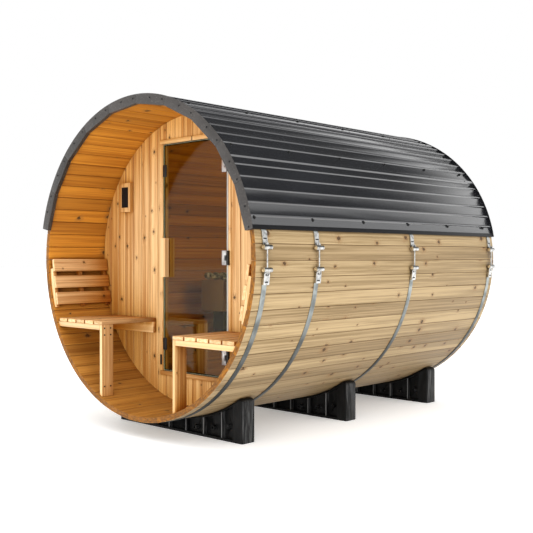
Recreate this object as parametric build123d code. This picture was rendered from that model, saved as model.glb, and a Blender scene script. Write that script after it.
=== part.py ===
from build123d import *
import os
from collections import namedtuple
from math import cos, degrees, pi, radians, sin, sqrt, tan

# Barrel of staves round a level axis along Y, the door end facing -Y, in millimetres
barrel_radius = 915
barrel_length = 2400
belly_clearance = 95
stave_count = 68
staves_per_group = 17
stave_thickness = 30
stave_gap = 0.4
stave_chamfer = 3

# Clearances: pieces that rest on each other, moving pieces, and how far a cut runs past its piece
fit_gap = 0.3
door_gap = 6
overrun = 20

# Walls across the barrel, the front one set back behind the porch
porch_depth_share = 0.1821
wall_thickness = 40
rear_recess = 45

# Doorway, its frame and its glass, as shares of the barrel's radius
door_offset_share = 0.0082
door_rise_share = 0.0153
opening_width_share = 0.62
opening_height_share = 1.541
frame_width = 26
frame_proud = 6
stop_width = 12
stop_depth = 20
glass_thickness = 8
glass_setback = 2

# Hinges and catches, placed up the doorway as shares of its height
hinge_height_shares = (0.381, -0.001, -0.411)
hinge_height = 84
hinge_plate_width = 27
hinge_plate_thickness = 5
hinge_axis_proud = 9
hinge_axis_inset = 2
knuckle_radius = 5
knuckle_height = 20
knuckle_web = 7
pin_radius = 2.5
hinge_block_width = 10
hinge_block_depth = 14
catch_width = 32
catch_height = 74
catch_height_shares = (0.381, -0.38)
latch_width = 14
latch_height = 62
latch_height_share = -0.451

# Handles on both faces of the glass
handle_length = 240
handle_width = 39
handle_depth = 33
handle_standoff = 4
handle_inset = 15
handle_bolt_radius = 7
handle_bolt_share = 0.3

# Vent beside the door, its place as shares of the barrel's radius
vent_x_share = -0.682
vent_z_share = 0.441
vent_width = 102
vent_height = 188
vent_open_width = 69
vent_open_height = 132
vent_proud = 30
grille_setback = 3

# Porch benches and the bench inside, their place as shares of the barrel's radius
left_level_share = -0.399
right_level_share = -0.448
inner_level_share = -0.437
left_seat_share = 0.3738
right_seat_share = 0.3148
inner_seat_share = 0.35
seat_side_gap = 15
slat_count = 5
slat_space = 11
slat_thickness = 22
bench_setback = 10
leg_thickness = 22
leg_depth = 85
apron_height = 30
apron_thickness = 22
ledger_height = 70
inner_bench_share = 0.3606

# Backrests
back_side_gap = 20
left_back_angle = 9.6
right_back_angle = 11
back_slat_count = 3
back_slat_height = 78
back_slat_space = 28
back_slat_thickness = 20
batten_depth = 26
batten_drop = 55
batten_foot = 14

# Heater and its stones, as shares of the barrel's length and radius
heater_near_share = 0.4968
heater_length = 300
heater_inner_share = -0.547
heater_depth_share = 0.245
heater_top_share = -0.16
heater_height_share = 0.2415
heater_plinth_inset = 60
stone_rows = 3
stone_columns = 4
stone_height = 56
stone_gap = 2

# Metal roof of ribbed panels over the staves, angles in degrees from the level on the right
right_eave_angle = 9.7
left_eave_angle = 12.2
panels_per_side = 3
ribs_per_panel = 6
roof_clearance = 4
roof_thickness = 3
rib_height = 6
rib_foot_width = 17
rib_crown_width = 8
seam_height = 8
seam_foot_width = 30
seam_crown_width = 18
sheet_gap = 0.4
front_overhang = 28
rear_overhang = 5
eave_strip_angle = 1.4
eave_strip_thickness = 8

# Trim round the roof's two ends, straight pieces end to end with a plate that caps the ribs
trim_pieces = 10
front_trim_width = 41
rear_trim_width = 19
trim_plate = 4
trim_lip = 1
trim_gap = 0.4

# Steel hoops with one tensioner each on the right, placed as shares of the barrel's length
hoop_station_shares = (0.0283, 0.1988, 0.5804, 0.9754)
hoop_width = 34
hoop_thickness = 2.5
hoop_upper_angle = 5.4
hoop_lower_angle = -4
trunnion_radius = 13
trunnion_length = 58
trunnion_outset = 14
trunnion_angles = (4.2, -2.9)
rod_radius = 4.5
rod_overhang = 26
nut_radius = 8
nut_height = 8
clamp_width = 42
clamp_depth = 12
clamp_angles = (-7.5, -2.9)
strap_width = 36
strap_thickness = 3
strap_angles = (4.05, 9.3)

# Moulded cradles under the barrel, placed as shares of its length, with ribbed pockets in both faces
cradle_station_shares = (0.1469, 0.5385, 0.9302)
cradle_depth = 105
cradle_half_share = 0.585
cradle_tip_radius = 24
cradle_corner_radius = 12
cradle_column = 72
cradle_rim = 13
pocket_depth = 32
cradle_rib_thickness = 7
cradle_rib_setback = 5
cradle_rib_pitch = 148
cradle_ribs_per_side = 3
boss_radius = 14
boss_hole_radius = 8
boss_height_share = 0.42

axis_height = barrel_radius+belly_clearance
front_y = -cradle_station_shares[1]*barrel_length
rear_y = front_y+barrel_length
half_step = pi/stave_count
outer_flat = barrel_radius*cos(half_step)
inner_flat = outer_flat-stave_thickness
bore_radius = inner_flat-fit_gap
wall_y = front_y+porch_depth_share*barrel_length
wall_back_y = wall_y+wall_thickness
back_height = back_slat_count*back_slat_height+(back_slat_count-1)*back_slat_space
back_face_x = sqrt(bore_radius**2-(back_height/2)**2)-back_slat_thickness-back_side_gap
door_x = door_offset_share*barrel_radius
door_z = axis_height+door_rise_share*barrel_radius
opening_width = opening_width_share*barrel_radius
opening_height = opening_height_share*barrel_radius
opening_left = door_x-opening_width/2
opening_right = door_x+opening_width/2
opening_top = door_z+opening_height/2
opening_bottom = door_z-opening_height/2
frame_front_y = wall_y-frame_proud
frame_back_y = wall_back_y+frame_proud
glass_front_y = frame_front_y+glass_setback
glass_back_y = glass_front_y+glass_thickness
hinge_axis_x = opening_right-hinge_axis_inset
hinge_axis_y = frame_front_y-hinge_axis_proud
vent_x = vent_x_share*barrel_radius
vent_z = axis_height+vent_z_share*barrel_radius
roof_inner_radius = barrel_radius+roof_clearance
roof_outer_radius = roof_inner_radius+roof_thickness
roof_flat_radius = roof_inner_radius*cos(pi/4/panels_per_side/ribs_per_panel)
roof_front_y = front_y-front_overhang
roof_rear_y = rear_y+rear_overhang
hoop_inner_radius = barrel_radius+fit_gap
hoop_outer_radius = hoop_inner_radius+hoop_thickness
cradle_radius = barrel_radius+fit_gap
cradle_half_width = cradle_half_share*barrel_radius

os.makedirs("parts", exist_ok=True)


def save(name, solids):
    """Write one node: a list of solids under one label."""
    node = Compound(label=name, children=list(solids))
    export_step(node, "parts/"+name+".step")


def polar(radius, angle):
    """Point of the cross-section at a radius and an angle in degrees from the level on the right."""
    return (radius*cos(radians(angle)), axis_height+radius*sin(radians(angle)))


def across(y):
    """Plane of the cross-section at a place along the axis: its x is X and its y is Z."""
    return Plane(origin=(0, y, 0), x_dir=(1, 0, 0), z_dir=(0, -1, 0))


def run(face, near, far):
    """A cross-section drawn in X and Z, carried along the axis from near to far."""
    return extrude(across(near)*face, amount=near-far)


def prism(points, near, far):
    """A straight-sided cross-section carried along the axis."""
    return run(make_face(Polyline(*points, close=True)), near, far)


def sector(inner, outer, start, end, near, far):
    """A band between two radii and two angles, carried along the axis."""
    middle = (start+end)/2
    edges = [
        Line(polar(inner, start), polar(outer, start)),
        ThreePointArc(polar(outer, start), polar(outer, middle), polar(outer, end)),
        Line(polar(outer, end), polar(inner, end)),
        ThreePointArc(polar(inner, end), polar(inner, middle), polar(inner, start)),
    ]
    return run(make_face(edges), near, far)


def block(x0, x1, y0, y1, z0, z1):
    """A box between six coordinates."""
    return Pos((x0+x1)/2, (y0+y1)/2, (z0+z1)/2)*Box(abs(x1-x0), abs(y1-y0), abs(z1-z0))


def drum(radius, near, far):
    """A cylinder on the barrel's axis."""
    return Pos(0, (near+far)/2, axis_height)*Rot(90, 0, 0)*Cylinder(radius, far-near)


def upright(x, y, radius, z0, z1):
    """A vertical cylinder."""
    return Pos(x, y, (z0+z1)/2)*Cylinder(radius, z1-z0)


def along_y(x, y0, y1, z, radius):
    """A cylinder along Y."""
    return Pos(x, (y0+y1)/2, z)*Rot(90, 0, 0)*Cylinder(radius, y1-y0)


def stave(index):
    """One stave: a flat board with bevelled sides and chamfered edges."""
    turn = -90+360*(index+0.5)/stave_count
    inner_half = inner_flat*tan(half_step)-stave_gap/2
    outer_half = outer_flat*tan(half_step)-stave_gap/2
    shape = [
        (stave_chamfer-inner_half, inner_flat),
        (-inner_half, inner_flat+stave_chamfer),
        (-outer_half, outer_flat-stave_chamfer),
        (stave_chamfer-outer_half, outer_flat),
        (outer_half-stave_chamfer, outer_flat),
        (outer_half, outer_flat-stave_chamfer),
        (inner_half, inner_flat+stave_chamfer),
        (inner_half-stave_chamfer, inner_flat),
    ]
    c, s = cos(radians(turn)), sin(radians(turn))
    points = [(c*out-s*side, axis_height+s*out+c*side) for side, out in shape]
    return prism(points, front_y, rear_y)


def make_barrel():
    """Staves in quarters round the barrel, counted from the joint at its lowest line."""
    names = ("low_right", "high_right", "high_left", "low_left")
    for group, name in enumerate(names):
        first = group*staves_per_group
        save("staves_"+name, [stave(first+i) for i in range(staves_per_group)])


def make_front_wall():
    """Front wall in four pieces round the door frame, the left one cut for the vent."""
    disc = drum(bore_radius, wall_y, wall_back_y)
    left_x = opening_left-frame_width-fit_gap
    right_x = opening_right+frame_width+fit_gap
    over_z = opening_top+frame_width+fit_gap
    under_z = opening_bottom-frame_width-fit_gap
    near, far = wall_y-overrun, wall_back_y+overrun
    low, high = axis_height-barrel_radius, axis_height+barrel_radius
    vent_x0, vent_x1 = vent_x-vent_open_width/2, vent_x+vent_open_width/2
    vent_z0, vent_z1 = vent_z-vent_open_height/2, vent_z+vent_open_height/2
    left = disc & block(-barrel_radius, left_x, near, far, low, high)
    left -= block(vent_x0, vent_x1, near, far, vent_z0, vent_z1)
    right = disc & block(right_x, barrel_radius, near, far, low, high)
    save("wall_front_left", [left])
    save("wall_front_right", [right])
    save("wall_front_over", [disc & block(left_x+fit_gap, right_x-fit_gap, near, far, over_z, high)])
    save("wall_front_sill", [disc & block(left_x+fit_gap, right_x-fit_gap, near, far, low, under_z)])
    make_vent(vent_x0, vent_x1, vent_z0, vent_z1)


def make_vent(x0, x1, z0, z1):
    """Wooden frame round the vent and the black grille filling it."""
    frame = block(vent_x-vent_width/2, vent_x+vent_width/2, wall_y-vent_proud, wall_y-fit_gap,
                  vent_z-vent_height/2, vent_z+vent_height/2)
    frame -= block(x0, x1, wall_y-vent_proud-overrun, wall_y+overrun, z0, z1)
    save("vent_frame", [frame])
    grille = block(x0+fit_gap, x1-fit_gap, wall_y-vent_proud+grille_setback, wall_y, z0+fit_gap, z1-fit_gap)
    save("vent_grille", [grille])


def make_rear_wall():
    """Rear wall set in from the barrel's rear rim."""
    far = rear_y-rear_recess
    save("wall_rear", [drum(bore_radius, far-wall_thickness, far)])


def jamb(edge, side):
    """One jamb beside the opening, with a stop behind the glass."""
    stop_y = glass_back_y+door_gap
    post = block(edge, edge+side*frame_width, frame_front_y, frame_back_y, opening_bottom, opening_top)
    stop = block(edge-side*stop_width, edge, stop_y, stop_y+stop_depth, opening_bottom, opening_top)
    return post+stop


def make_frame():
    """Door frame of two jambs, a head and a threshold."""
    side = frame_width
    head = block(opening_left-side, opening_right+side, frame_front_y, frame_back_y,
                 opening_top+fit_gap, opening_top+side)
    threshold = block(opening_left-side, opening_right+side, frame_front_y, frame_back_y,
                      opening_bottom-side, opening_bottom-fit_gap)
    save("door_jambs", [jamb(opening_left, -1), jamb(opening_right, 1)])
    save("door_head", [head])
    save("door_threshold", [threshold])


def make_door():
    """Glass leaf with its handles, hinge plates and catch plates."""
    x0, x1 = opening_left+door_gap, opening_right-door_gap
    z0, z1 = opening_bottom+door_gap, opening_top-door_gap
    save("door_glass", [block(x0, x1, glass_front_y, glass_back_y, z0, z1)])
    make_handles(x0+handle_inset)
    make_hinges(x1)
    shares = catch_height_shares
    save("door_catches", [flat_plate(x0, catch_width, catch_height, share, glass_front_y) for share in shares])
    latch_x = opening_left-door_gap-latch_width
    save("latch_plate", [flat_plate(latch_x, latch_width, latch_height, latch_height_share, frame_front_y)])


def flat_plate(x0, width, height, share, face_y):
    """A thin plate on a face of the door or its frame, placed up the doorway as a share of its height."""
    z = door_z+share*opening_height
    far = face_y-fit_gap
    return block(x0, x0+width, far-hinge_plate_thickness, far, z-height/2, z+height/2)


def make_handles(x0):
    """A wooden bar on each face of the glass, held off it on two bolts."""
    z0, z1 = door_z-handle_length/2, door_z+handle_length/2
    x1 = x0+handle_width
    outer_near = glass_front_y-handle_standoff-handle_depth
    inner_near = glass_back_y+handle_standoff
    outer = block(x0, x1, outer_near, outer_near+handle_depth, z0, z1)
    inner = block(x0, x1, inner_near, inner_near+handle_depth, z0, z1)
    for side in (-1, 1):
        z = door_z+side*handle_bolt_share*handle_length
        x = (x0+x1)/2
        outer += along_y(x, outer_near+handle_depth/2, glass_front_y-fit_gap, z, handle_bolt_radius)
        inner += along_y(x, glass_back_y+fit_gap, inner_near+handle_depth/2, z, handle_bolt_radius)
    save("door_handles", [outer, inner])


def make_hinges(glass_edge):
    """Hinges up the doorway: plates on the glass, and blocks on the jamb."""
    heights = [door_z+share*opening_height for share in hinge_height_shares]
    save("hinge_plates", [hinge_plate(glass_edge, z) for z in heights])
    save("hinge_blocks", [hinge_block(z) for z in heights])


def hinge_plate(glass_edge, z):
    """A plate on the glass with a knuckle above and below the middle, bored for the pin."""
    z0, z1 = z-hinge_height/2, z+hinge_height/2
    left = glass_edge-hinge_plate_width
    near, far = hinge_axis_y-knuckle_web/2, glass_front_y-fit_gap
    plate = block(left, glass_edge, far-hinge_plate_thickness, far, z0, z1)
    plate += block(left, hinge_axis_x-knuckle_radius-door_gap, near, far, z0, z1)
    half = knuckle_height/2+door_gap
    for low, high in ((z0, z-half), (z+half, z1)):
        plate += block(left, glass_edge, near, far, low, high)
        plate += block(left, hinge_axis_x, near, near+knuckle_web, low, high)
        plate += upright(hinge_axis_x, hinge_axis_y, knuckle_radius, low, high)
    return plate-upright(hinge_axis_x, hinge_axis_y, pin_radius+fit_gap, z0-overrun, z1+overrun)


def hinge_block(z):
    """A block on the jamb with the middle knuckle and the pin."""
    z0, z1 = z-hinge_height/2, z+hinge_height/2
    low, high = z-knuckle_height/2, z+knuckle_height/2
    left, far = hinge_axis_x+knuckle_radius+door_gap, frame_front_y-fit_gap
    near = hinge_axis_y-knuckle_web/2
    body = block(left, left+hinge_block_width, far-hinge_block_depth, far, z0, z1)
    body += block(hinge_axis_x, left+hinge_block_width/2, near, near+knuckle_web, low, high)
    body += upright(hinge_axis_x, hinge_axis_y, knuckle_radius, low, high)
    return body+upright(hinge_axis_x, hinge_axis_y, pin_radius, z0, z1)


Bench = namedtuple("Bench", "name side inner_x seat_z")


def bench(name, side, inner_share, level_share):
    """A bench's side, the distance of its inner edge from the middle, and its seat's height."""
    return Bench(name, side, inner_share*barrel_radius, axis_height+level_share*barrel_radius)


def slats(seat, near, far):
    """Seat slats along the axis, counted from the inner edge."""
    under = seat.seat_z-slat_thickness
    outer_x = sqrt(bore_radius**2-(axis_height-under)**2)-seat_side_gap
    slat_width = (outer_x-seat.inner_x-(slat_count-1)*slat_space)/slat_count
    found = []
    for i in range(slat_count):
        x0 = seat.inner_x+i*(slat_width+slat_space)
        found.append(block(seat.side*x0, seat.side*(x0+slat_width), near, far, under, seat.seat_z))
    return found


def rail(seat, x0, near, far, height, core):
    """A rail across under the slats, its outer end shaped to the staves."""
    top = seat.seat_z-slat_thickness-fit_gap
    return core & block(seat.side*x0, seat.side*barrel_radius, near, far, top-height, top)


def leg(seat, near, far, core):
    """A board on edge from the staves up to the slats."""
    top = seat.seat_z-slat_thickness-fit_gap
    x0, x1 = seat.inner_x, seat.inner_x+leg_thickness
    return core & block(seat.side*x0, seat.side*x1, near, far, axis_height-barrel_radius, top)


def bench_frame(seat, near, far, leg_at_near):
    """Leg and apron at the free end, and a ledger at the wall end."""
    core = drum(bore_radius, front_y, rear_y)
    rail_x = seat.inner_x+leg_thickness+fit_gap
    if leg_at_near:
        leg_y, apron_y, ledger_y = near, near, far-apron_thickness
    else:
        leg_y, apron_y, ledger_y = far-leg_depth, far-apron_thickness, near
    return [
        leg(seat, leg_y, leg_y+leg_depth, core),
        rail(seat, rail_x, apron_y, apron_y+apron_thickness, apron_height, core),
        rail(seat, seat.inner_x, ledger_y, ledger_y+apron_thickness, ledger_height, core),
    ]


def backrest(side, angle, near, far):
    """Three slats on battens against the staves, turned down round the barrel's axis."""
    core = drum(bore_radius, front_y, rear_y)
    top = axis_height+back_height/2
    found = []
    for i in range(back_slat_count):
        high = top-i*(back_slat_height+back_slat_space)
        found.append(block(side*back_face_x, side*(back_face_x+back_slat_thickness), near, far,
                           high-back_slat_height, high))
    low, high = top-back_height-batten_foot, top-batten_drop
    batten_x = back_face_x+back_slat_thickness+fit_gap
    for y in (near, (near+far-batten_depth)/2, far-batten_depth):
        found.append(core & block(side*batten_x, side*barrel_radius, y, y+batten_depth, low, high))
    turn = Pos(0, 0, axis_height)*Rot(0, side*angle, 0)*Pos(0, 0, -axis_height)
    return [turn*piece for piece in found]


def make_benches():
    """Two porch benches with backrests, and a short bench inside on the left."""
    near, far = front_y+bench_setback, frame_front_y-fit_gap
    left = bench("left", -1, left_seat_share, left_level_share)
    right = bench("right", 1, right_seat_share, right_level_share)
    for seat, angle in ((left, left_back_angle), (right, right_back_angle)):
        save("porch_seat_"+seat.name, slats(seat, near, far))
        save("porch_frame_"+seat.name, bench_frame(seat, near, far, leg_at_near=True))
        save("porch_back_"+seat.name, backrest(seat.side, angle, near, far))
    inner = bench("inner", -1, inner_seat_share, inner_level_share)
    near, far = wall_back_y+fit_gap, front_y+inner_bench_share*barrel_length
    save("inner_seat", slats(inner, near, far))
    save("inner_frame", bench_frame(inner, near, far, leg_at_near=False))


def make_heater():
    """Heater box on a plinth against the left staves, with a bed of stones on top."""
    core = drum(bore_radius, front_y, rear_y)
    near = front_y+heater_near_share*barrel_length
    far = near+heater_length
    x1 = heater_inner_share*barrel_radius
    depth = heater_depth_share*barrel_radius
    x0 = x1-depth
    top = axis_height+heater_top_share*barrel_radius
    bottom = top-heater_height_share*barrel_radius
    save("heater_box", [block(x0, x1, near, far, bottom, top)])
    inset, low = heater_plinth_inset, axis_height-barrel_radius
    save("heater_plinth", [core & block(x0+inset, x1-inset, near+inset, far-inset, low, bottom-fit_gap)])
    step_x = depth/stone_rows
    step_y = heater_length/stone_columns
    stones = []
    for i in range(stone_rows):
        for j in range(stone_columns):
            stones.append(block(x0+i*step_x+stone_gap, x0+(i+1)*step_x-stone_gap, near+j*step_y+stone_gap,
                                near+(j+1)*step_y-stone_gap, top+fit_gap, top+stone_height))
    save("heater_stones", stones)


def arc_angle(length):
    """Angle in degrees that a length takes up round the roof."""
    return degrees(length/roof_outer_radius)


def roof_panel(start, end, foot_angle, near, far):
    """One panel folded at its ribs: flat strips between them, and the wider seam rib at its upper edge."""
    first, last = foot_angle+arc_angle(sheet_gap)/2, end-arc_angle(sheet_gap)/2
    step = (end-start)/ribs_per_panel
    ribs = [(start+i*step, rib_foot_width, rib_crown_width, rib_height) for i in range(1, ribs_per_panel)]
    ribs.append((last-arc_angle(seam_foot_width/2), seam_foot_width, seam_crown_width, seam_height))
    outer, inner = [polar(roof_outer_radius, first)], [polar(roof_inner_radius, first)]
    for angle, foot_width, crown_width, height in ribs:
        foot, crown = arc_angle(foot_width/2), arc_angle(crown_width/2)
        outer += [polar(roof_outer_radius, angle-foot), polar(roof_outer_radius+height, angle-crown)]
        outer += [polar(roof_outer_radius+height, angle+crown), polar(roof_outer_radius, angle+foot)]
        inner += [polar(roof_inner_radius, angle-foot), polar(roof_inner_radius, angle+foot)]
    return prism(outer+inner[::-1], near, far)


def roof_side(eave_angle):
    """Panels from the drip strip at one eave to the crown, where the seam ribs of both sides meet."""
    near, far = roof_front_y+trim_plate+fit_gap, roof_rear_y-trim_plate-fit_gap
    panel_angle = (90-eave_angle)/panels_per_side
    panels = []
    for i in range(panels_per_side):
        start = eave_angle+i*panel_angle
        foot_angle = start+(eave_strip_angle if i == 0 else 0)
        panels.append(roof_panel(start, start+panel_angle, foot_angle, near, far))
    return panels


def make_roof():
    """Panels on both sides."""
    save("roof_right", roof_side(right_eave_angle))
    save("roof_left", [mirror(panel, about=Plane.YZ) for panel in roof_side(left_eave_angle)])


def trim_section(inner, outer, start, end):
    """Cross-section of one trim piece: straight inside, round outside."""
    return make_face([
        Line(polar(inner, start), polar(outer, start)),
        ThreePointArc(polar(outer, start), polar(outer, (start+end)/2), polar(outer, end)),
        Line(polar(outer, end), polar(inner, end)),
        Line(polar(inner, end), polar(inner, start)),
    ])


def trim_arc(width, tip, plate, root):
    """Trim pieces end to end: a plate that caps the ribs from tip to plate, and a body under the roof."""
    step = (180-left_eave_angle-right_eave_angle)/trim_pieces
    half_gap = arc_angle(trim_gap)/2
    inner = roof_inner_radius-width
    found = []
    for i in range(trim_pieces):
        start, end = right_eave_angle+i*step+half_gap, right_eave_angle+(i+1)*step-half_gap
        cap = trim_section(inner, roof_outer_radius+seam_height+trim_lip, start, end)
        body = trim_section(inner, roof_flat_radius-fit_gap, start, end)
        found.append(run(cap, min(tip, plate), max(tip, plate))+run(body, min(tip, root), max(tip, root)))
    return found


def eave_strip(eave_angle):
    """Drip strip under the lower edge of the roof on the right."""
    upper = eave_angle+eave_strip_angle-arc_angle(sheet_gap)
    return sector(roof_inner_radius, roof_inner_radius+eave_strip_thickness, eave_angle, upper,
                  roof_front_y+trim_plate+fit_gap, roof_rear_y-trim_plate-fit_gap)


def make_trim():
    """End trims round the roof, and the drip strips along its eaves."""
    save("trim_front", trim_arc(front_trim_width, roof_front_y, roof_front_y+trim_plate, front_y-fit_gap))
    save("trim_rear", trim_arc(rear_trim_width, roof_rear_y, roof_rear_y-trim_plate, rear_y+fit_gap))
    save("eave_strips", [eave_strip(right_eave_angle), mirror(eave_strip(left_eave_angle), about=Plane.YZ)])


def make_hoops():
    """Open steel hoops, each closed by a tensioner on the right."""
    hoops, tensioners = [], []
    for share in hoop_station_shares:
        y = front_y+share*barrel_length
        hoops.append(sector(hoop_inner_radius, hoop_outer_radius, hoop_upper_angle, 360+hoop_lower_angle,
                            y-hoop_width/2, y+hoop_width/2))
        tensioners.append(tensioner(y))
    save("hoops", hoops)
    save("tensioners", tensioners)


def tensioner(y):
    """Strap and upper trunnion, threaded rod with a nut, lower trunnion and clamp on the hoop's end."""
    x = barrel_radius+trunnion_outset
    upper, lower = [axis_height+barrel_radius*sin(radians(angle)) for angle in trunnion_angles]
    half = trunnion_length/2
    body = along_y(x, y-half, y+half, upper, trunnion_radius)
    body += along_y(x, y-half, y+half, lower, trunnion_radius)
    body += upright(x, y, rod_radius, lower-rod_overhang, upper+rod_overhang)
    nut_z = upper+trunnion_radius
    body += upright(x, y, nut_radius, upper, nut_z+nut_height)
    seat = hoop_outer_radius+fit_gap
    body += sector(seat, seat+strap_thickness, *strap_angles, y-strap_width/2, y+strap_width/2)
    body += sector(seat, seat+clamp_depth, *clamp_angles, y-clamp_width/2, y+clamp_width/2)
    return body


def cradle_section():
    """Outline of a cradle: level base, upright ends, rounded tips and an arc for the barrel."""
    w = cradle_half_width
    tip_z = axis_height-sqrt(cradle_radius**2-w**2)
    outline = make_face([
        Line((-w, 0), (w, 0)),
        Line((w, 0), (w, tip_z)),
        ThreePointArc((w, tip_z), (0, axis_height-cradle_radius), (-w, tip_z)),
        Line((-w, tip_z), (-w, 0)),
    ])
    return fillet(outline.vertices().sort_by(Axis.Y)[-2:], cradle_tip_radius)


def cradle(near):
    """One cradle with pockets in both faces, ribs and holed bosses in the pockets."""
    far = near+cradle_depth
    body = run(cradle_section(), near, far)
    ends = body.edges().filter_by(Axis.Z)
    body = fillet(ends, cradle_corner_radius)
    wide = cradle_half_width-cradle_column
    arch = drum(cradle_radius+cradle_rim, near-overrun, far+overrun)
    for y0, y1 in ((near-overrun, near+pocket_depth), (far-pocket_depth, far+overrun)):
        body -= block(-wide, wide, y0, y1, cradle_rim, axis_height)-arch
    keep = body_limits(near+cradle_rib_setback, far-cradle_rib_setback)
    for i in range(cradle_ribs_per_side):
        x = (i+0.5)*cradle_rib_pitch
        for side in (-1, 1):
            body += keep & rib_plate(side*x, near, far)
    for x in boss_places():
        body = add_boss(body, x, near, far)
    return body


def body_limits(near, far):
    """The cradle's outline between two faces, to keep what is added inside it."""
    return run(cradle_section(), near, far)


def rib_plate(x, near, far):
    """A thin upright plate through the cradle's depth."""
    half = cradle_rib_thickness/2
    return block(x-half, x+half, near, far, 0, axis_height)


def boss_places():
    """Places of the bosses: halfway between ribs, and between the last rib and the end column."""
    last = (cradle_ribs_per_side-0.5)*cradle_rib_pitch
    end = (last+cradle_half_width-cradle_column)/2
    right = [(i+1)*cradle_rib_pitch for i in range(cradle_ribs_per_side-1)]+[end]
    return [side*x for side in (-1, 1) for x in right]


def add_boss(body, x, near, far):
    """A round boss through the cradle's depth with a hole through it, at a share of the height there."""
    height = axis_height-sqrt(cradle_radius**2-x**2)
    z = boss_height_share*height
    keep = body_limits(near+cradle_rib_setback, far-cradle_rib_setback)
    body += keep & along_y(x, near, far, z, boss_radius)
    return body-along_y(x, near-overrun, far+overrun, z, boss_hole_radius)


def make_cradles():
    """Three cradles along the barrel."""
    for name, share in zip(("front", "middle", "rear"), cradle_station_shares):
        save("cradle_"+name, [cradle(front_y+share*barrel_length-cradle_depth/2)])


make_barrel()
make_front_wall()
make_rear_wall()
make_frame()
make_door()
make_benches()
make_heater()
make_roof()
make_trim()
make_hoops()
make_cradles()
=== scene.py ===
"""Looks of the barrel sauna: boards, metals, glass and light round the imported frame, in metres."""
import math
import random
from collections import namedtuple

import bmesh
import bpy
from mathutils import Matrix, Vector, noise


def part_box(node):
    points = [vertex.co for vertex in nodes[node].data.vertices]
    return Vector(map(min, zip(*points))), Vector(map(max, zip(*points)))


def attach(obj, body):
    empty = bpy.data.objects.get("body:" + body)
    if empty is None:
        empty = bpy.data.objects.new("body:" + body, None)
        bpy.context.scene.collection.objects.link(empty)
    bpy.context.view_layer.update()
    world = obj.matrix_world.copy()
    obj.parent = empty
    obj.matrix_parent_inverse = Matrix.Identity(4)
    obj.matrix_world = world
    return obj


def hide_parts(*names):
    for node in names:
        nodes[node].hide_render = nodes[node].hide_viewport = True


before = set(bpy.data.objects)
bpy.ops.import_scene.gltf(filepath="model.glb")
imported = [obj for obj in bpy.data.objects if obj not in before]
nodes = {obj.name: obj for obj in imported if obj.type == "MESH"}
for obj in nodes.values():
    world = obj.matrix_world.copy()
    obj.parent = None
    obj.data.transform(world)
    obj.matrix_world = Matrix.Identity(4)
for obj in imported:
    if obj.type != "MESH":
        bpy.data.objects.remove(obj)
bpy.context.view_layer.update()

# Places taken from the frame
rear_low, rear_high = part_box("wall_rear")
stave_low, stave_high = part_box("staves_low_right")
wall_low, wall_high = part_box("wall_front_left")
roof_low, roof_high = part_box("roof_right")
axis_z = (rear_low.z+rear_high.z)/2
bore_radius = (rear_high.x-rear_low.x)/2
barrel_radius = stave_high.x
front_y = stave_low.y
rear_y = stave_high.y
middle_y = (front_y+rear_y)/2
wall_y = wall_low.y
wall_back_y = wall_high.y

# Numbers of the axes, and directions
x_axis = 0
y_axis = 1
to_front = Vector((0, -1, 0))
to_rear = Vector((0, 1, 0))
to_right = Vector((1, 0, 0))
upward = Vector((0, 0, 1))

# Camera, fitted to the photograph: place from the front rim and the axis, turn, focal length in pixels
image_size = 533
camera_right = 3.7879
camera_ahead = 3.0989
camera_over = 0.0191
camera_yaw = 0.7817
camera_pitch = -0.0113
focal_pixels = 861.37
centre_column = 226.5
sensor_width = 36.0

# Meshes: corners this near are joined, faces turned less than this are one, slivers this thin go
merge_distance = 1e-5
flat_angle = 0.5
sliver_size = 5e-5

# Angles in degrees past which an edge is rounded or shades sharp, and how edges are rounded
round_angle = 25
smooth_angle = 30
edge_segments = 2
round_profile = 0.5

# A face whose normal has this share along a direction faces that way
facing_share = 0.9

# Boards of the walls: pitch, a joint's place, groove, space, margin at the ends, strips, narrowest in grooves
board_pitch = 0.08
board_joint_x = -0.488
board_groove = 0.0035
board_space = 0.001
board_margin = 1e-4
board_steps = 4
least_board_grooves = 4

# Rounded edges of wood
stave_edge = 0.0012
bench_edge = 0.0022
frame_edge = 0.0015
handle_edge = 0.004
handle_segments = 4

# Rounded edges of metal and glass, and the angle past which the roof's folds are rounded
sheet_edge = 0.0007
rib_edge = 0.001
rib_angle = 12
rib_segments = 3
trim_edge = 0.002
hardware_edge = 0.0008
heater_edge = 0.0025
glass_edge = 0.001
glass_segments = 1

# Rib fronts of the cradles painted pale as a highlight: widest, least rise, shares of the half width and of
# their own length
highlight_width = 0.0075
highlight_rise = 0.03
highlight_reach_share = 0.8
highlight_upright_share = 0.8

# Rings of a screw's washer and head: shares of its radius across and up
washer_shares = ((1, -0.3), (1, 0.15), (0.85, 0.3))
washer_sides = 14
head_shares = ((0.62, 0.1), (0.62, 0.75), (0.45, 0.95))
head_sides = 6

# Screws: rows on the roof by angle over the eave, stations along it, and pairs at the trim's joints
screw_rows = (2.2, 24.5, 28.7, 51.2, 55.4, 77.5)
screw_pitch = 0.455
screw_start = 0.03
screw_row_lead = 0.012
screw_radius = 0.0095
eave_slack = 0.002
trim_screw_radius = 0.0055
trim_screw_turns = (1.3, 8.0)
trim_pieces = 10

# Bolts in the bench legs, and their distances from the leg's sides and ends
bolt_radius = 0.005
bolt_margin = 0.02
bolt_far_margin = 0.06

# Tensioners: angles of the trunnions, bolts and caps at their ends, black tiles as painted shade in the slits
# of the clamp and the strap
trunnion_angles = (4.2, -2.9)
trunnion_radius = 0.013
trunnion_bolt_radius = 0.0105
slot_angles = (-6.6, -4.4, 6.9)
slot_outs = (0.0151, 0.0151, 0.0062)
slot_half = (0.0006, 0.012, 0.0035)

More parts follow.
